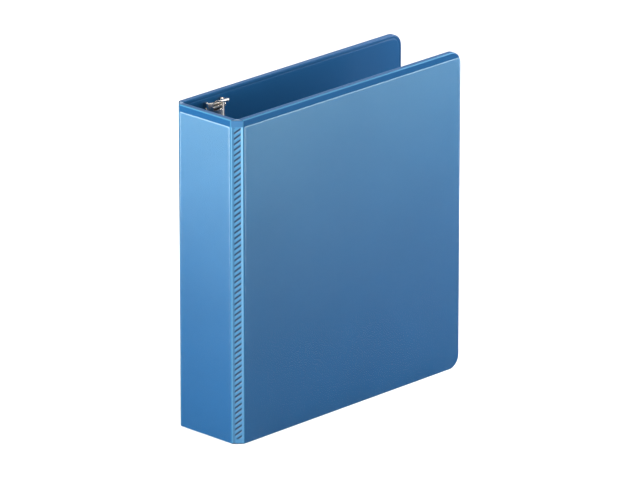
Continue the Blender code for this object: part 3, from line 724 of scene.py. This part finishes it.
for label in ("bottom", "middle", "top"):
    for node, side, path, body in (
        ("ring_curve", -1, curve_path, "curved_rings"), ("ring_post", 1, post_path, "ring_posts"),
    ):
        low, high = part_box(f"{node}_{label}")
        end = path[-1]
        tip = [(end[0] + side * TIP_CHAMFER, end[1]), end]
        leg = [(side * RING_LEG, above) for above in (low.x - liner_x, LEG_FOOT, LEG_FOOT)]
        points = leg + path[:-1] + tip
        radii = [SPIGOT_RADIUS] * 2 + [WIRE_RADIUS] * (len(points) - 3) + [WIRE_RADIUS - TIP_CHAMFER]
        shape = wire(points, radii, 0.5 * (low.z + high.z))
        ring = add_piece(f"{node}_wire_{label}", shape, NICKEL)
        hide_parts(f"{node}_{label}")
        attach(ring, body)


# Levers
#
# One at each end of the housing, pressed from steel plate: a hub on a cross pin, a thumb tab that
# curves outward, and a two-fingered fork that grips the rails' ends and tips them.

LEVER_WIDTH = 0.0100
LEVER_THICKNESS = 0.0013
HUB_RADIUS = 0.0024
HUB_BORE = 0.00145
HUB_ROUND = 0.0003
HUB_SIDES = 32
TAB_LENGTH_ROUND = 0.0042           # rounded end of the tab
TAB_LEAST = 0.0012                  # half-width left at its very end
TAB_SOFT = 0.0004                   # tumbled edges
FORK_LENGTH = 0.0098
FORK_TILT = radians(8.25)
FORK_GAP = 0.00155                  # fingers' middles, either side of the fork's centre line
FINGER = 0.0005
FINGER_SOFT = 0.0001
FORK_START = 0.0006                 # its root, inside the hub
FORK_WIDTH = 0.0030
TAB_PATH = [                        # (outward, above the pivot), along the middle of the plate
    (0.0008, 0.0008), (0.0030, 0.0022), (0.0052, 0.0037), (0.0067, 0.0048), (0.0076, 0.0062),
    (0.0081, 0.0082), (0.0087, 0.0106), (0.0092, 0.0130), (0.0092, 0.0152),
]


def smooth_path(points, steps=4):
    """A path through points, with more between them, by Catmull and Rom's curve."""
    padded = [points[0]] + list(points) + [points[-1]]
    path = []
    for p0, p1, p2, p3 in zip(padded, padded[1:], padded[2:], padded[3:]):
        for i in range(steps):
            t = i / steps
            path.append(tuple(
                0.5 * (2 * b + (c - a) * t + (2 * a - 5 * b + 4 * c - d) * t ** 2
                       + (3 * b - a - 3 * c + d) * t ** 3)
                for a, b, c, d in zip(p0, p1, p2, p3)
            ))
    return path + [points[-1]]


def bar(path, widths, thickness, edge, matrix, shape):
    """A flat bar along (outward, above) points, with a half-width at each, added to a shape."""
    loops = []
    for i, (point, half_width) in enumerate(zip(path, widths)):
        ahead = Vector(path[min(i + 1, len(path) - 1)]) - Vector(path[max(i - 1, 0)])
        ahead.normalize()
        outline = rounded_outline(-half_width, half_width, -thickness / 2, thickness / 2, [edge] * 4)
        loops.append([(point[0] - ahead.y * t, point[1] + ahead.x * t, w) for w, t in outline])
    part = shell(loops, matrix)
    mesh = bpy.data.meshes.new("part")
    part.to_mesh(mesh)
    part.free()
    shape.from_mesh(mesh)
    bpy.data.meshes.remove(mesh)


def hub(matrix, shape):
    """The rolled hub: a short tube across the lever, its ends rounded, added to a shape."""
    half = LEVER_WIDTH / 2
    profile = [
        (HUB_BORE, -half + HUB_ROUND), (HUB_BORE + HUB_ROUND, -half),
        (HUB_RADIUS - HUB_ROUND, -half), (HUB_RADIUS, -half + HUB_ROUND),
        (HUB_RADIUS, half - HUB_ROUND), (HUB_RADIUS - HUB_ROUND, half),
        (HUB_BORE + HUB_ROUND, half), (HUB_BORE, half - HUB_ROUND),
    ]
    turns = [2 * pi * k / HUB_SIDES for k in range(HUB_SIDES)]
    rings = []
    for radius, w in profile:
        points = [Vector((radius * cos(turn), radius * sin(turn), w)) for turn in turns]
        rings.append([shape.verts.new(matrix @ point) for point in points])
    for first, second in zip(rings, rings[1:] + rings[:1]):
        for k in range(HUB_SIDES):
            m = (k + 1) % HUB_SIDES
            shape.faces.new((first[k], first[m], second[m], second[k]))


for label, outward in (("bottom", -1), ("top", 1)):
    low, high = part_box(f"lever_pin_{label}")
    pivot = 0.5 * (low + high)
    turned = Matrix(((0, 0, outward), (1, 0, 0), (0, 1, 0))).transposed().to_4x4()
    matrix = Matrix.Translation(pivot) @ turned
    shape = bmesh.new()
    hub(matrix, shape)
    path = smooth_path(TAB_PATH)
    lengths = [0.0]
    for first, second in zip(path, path[1:]):
        lengths.append(lengths[-1] + (Vector(second) - Vector(first)).length)
    widths = []
    for length in lengths:
        left = min((lengths[-1] - length) / TAB_LENGTH_ROUND, 1.0)
        widths.append(max(LEVER_WIDTH / 2 * sqrt(1 - (1 - left) ** 2), TAB_LEAST))
    bar(path, widths, LEVER_THICKNESS, TAB_SOFT, matrix, shape)
    for aside in (FORK_GAP, -FORK_GAP):
        finger = [
            (-reach * cos(FORK_TILT) - aside * sin(FORK_TILT),
             -reach * sin(FORK_TILT) + aside * cos(FORK_TILT))
            for reach in (FORK_START, 0.5 * FORK_LENGTH, FORK_LENGTH)
        ]
        bar(finger, [FORK_WIDTH / 2] * 3, FINGER, FINGER_SOFT, matrix, shape)
    lever = add_piece(f"thumb_lever_{label}", shape, NICKEL)
    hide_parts(f"lever_{label}")
    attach(lever, f"{label}_lever")


# Pins and rivets
#
# Plated steel. A pin crosses the housing through each lever's hub, headed at both ends, and two
# domed rivets hold the housing to the back board.

PIN_ROUND = 0.00015
RIVET_ROUND = 0.00010

for label in ("bottom", "top"):
    pressed_piece(f"cross_pin_{label}", f"lever_pin_{label}", "back_cover", PIN_ROUND)
    pressed_piece(f"domed_rivet_{label}", f"housing_rivet_{label}", "back_cover", RIVET_ROUND)


# Floor, light and camera
#
# The binder stands on white paper, under one wide softbox overhead. Seven smaller ones light the
# spine, the front cover, the top edges and the back.

FLOOR_SIZE = 6.0
PAPER_WHITE = "#E0E0E0"
WORLD_STRENGTH = 0.2
NEUTRAL = (1.0, 1.0, 1.0)
WARM = (1.0, 0.84, 0.70)

floor_mesh = bpy.data.meshes.new("floor")
half = FLOOR_SIZE / 2
corners = [(-half, -half, 0), (half, -half, 0), (half, half, 0), (-half, half, 0)]
floor_mesh.from_pydata(corners, [], [(0, 1, 2, 3)])
PAPER, shader = new_material("White paper floor")
set_inputs(shader, {"Base Color": colour(PAPER_WHITE), "Roughness": 0.9})
floor_mesh.materials.append(PAPER)
floor_piece = bpy.data.objects.new("floor", floor_mesh)
bpy.context.collection.objects.link(floor_piece)

world = bpy.data.worlds.new("Studio")
world.use_nodes = True
world.node_tree.nodes["Background"].inputs["Color"].default_value = (1, 1, 1, 1)
world.node_tree.nodes["Background"].inputs["Strength"].default_value = WORLD_STRENGTH
bpy.context.scene.world = world


def add_softbox(name, place, aim, size, power, tint):
    """Rectangular area light at a place, facing its aim."""
    lamp = bpy.data.lights.new(name, "AREA")
    lamp.color = tint
    lamp.shape = "RECTANGLE"
    lamp.size, lamp.size_y = size
    lamp.energy = power
    light = bpy.data.objects.new(name, lamp)
    light.location = place
    light.rotation_mode = "QUATERNION"
    light.rotation_quaternion = (Vector(aim) - Vector(place)).to_track_quat("-Z", "Y")
    light.visible_camera = False
    bpy.context.collection.objects.link(light)


add_softbox("Overhead softbox", (-0.15, 0.3, 2.2), (-0.15, 0.4, 0.0), (3.2, 3.6), 85, NEUTRAL)
add_softbox("Key softbox", (0.02, -0.42, 0.42), (0.0, -0.14, 0.24), (0.30, 0.20), 1.6, WARM)
add_softbox("Spine fill", (0.0, -1.20, 0.25), (0.0, -0.14, 0.15), (0.8, 0.5), 22, NEUTRAL)
add_softbox("Front fill", (1.20, 0.10, 0.25), (0.04, 0.0, 0.15), (0.8, 0.5), 4, NEUTRAL)
add_softbox("Strip softbox", (0.20, -0.08, 0.31), (0.04, -0.04, 0.22), (0.40, 0.06), 0.2, WARM)
add_softbox("Front edge softbox", (0.20, 0.55, 0.46), (-0.03, 0.08, 0.28), (0.3, 0.3), 9.0, NEUTRAL)
add_softbox("Back softbox", (-1.40, 1.40, 1.00), (0.0, 0.0, 0.25), (1.5, 0.8), 9, NEUTRAL)
add_softbox("Spine edge softbox", (-0.75, -0.45, 1.05), (0.0, -0.14, 0.295), (0.4, 0.4), 4.0, NEUTRAL)

AZIMUTH = radians(44.175)
ELEVATION = radians(19.372)
DISTANCE = 6.81085
AIM = (0.0, 0.0005, 0.14765)
AIM_RIGHT = 0.0012326               # small shifts of the camera, across and up
AIM_UP = -0.0031294
LENS = 438.75                       # mm, on a sensor 36 mm wide
right = Vector((cos(AZIMUTH), sin(AZIMUTH), 0))
ahead = Vector((-sin(AZIMUTH) * cos(ELEVATION), cos(AZIMUTH) * cos(ELEVATION), -sin(ELEVATION)))
up = right.cross(ahead)
camera_data = bpy.data.cameras.new("Camera")
camera_data.sensor_width = 36
camera_data.lens = LENS
camera_data.clip_end = 100
camera = bpy.data.objects.new("Camera", camera_data)
stand = Vector(AIM) + right * AIM_RIGHT + up * AIM_UP - ahead * DISTANCE
facing = Matrix((right, up, -ahead)).transposed().to_4x4()
camera.matrix_world = Matrix.Translation(stand) @ facing
bpy.context.collection.objects.link(camera)
bpy.context.scene.camera = camera
bpy.context.scene.view_settings.view_transform = "Standard"
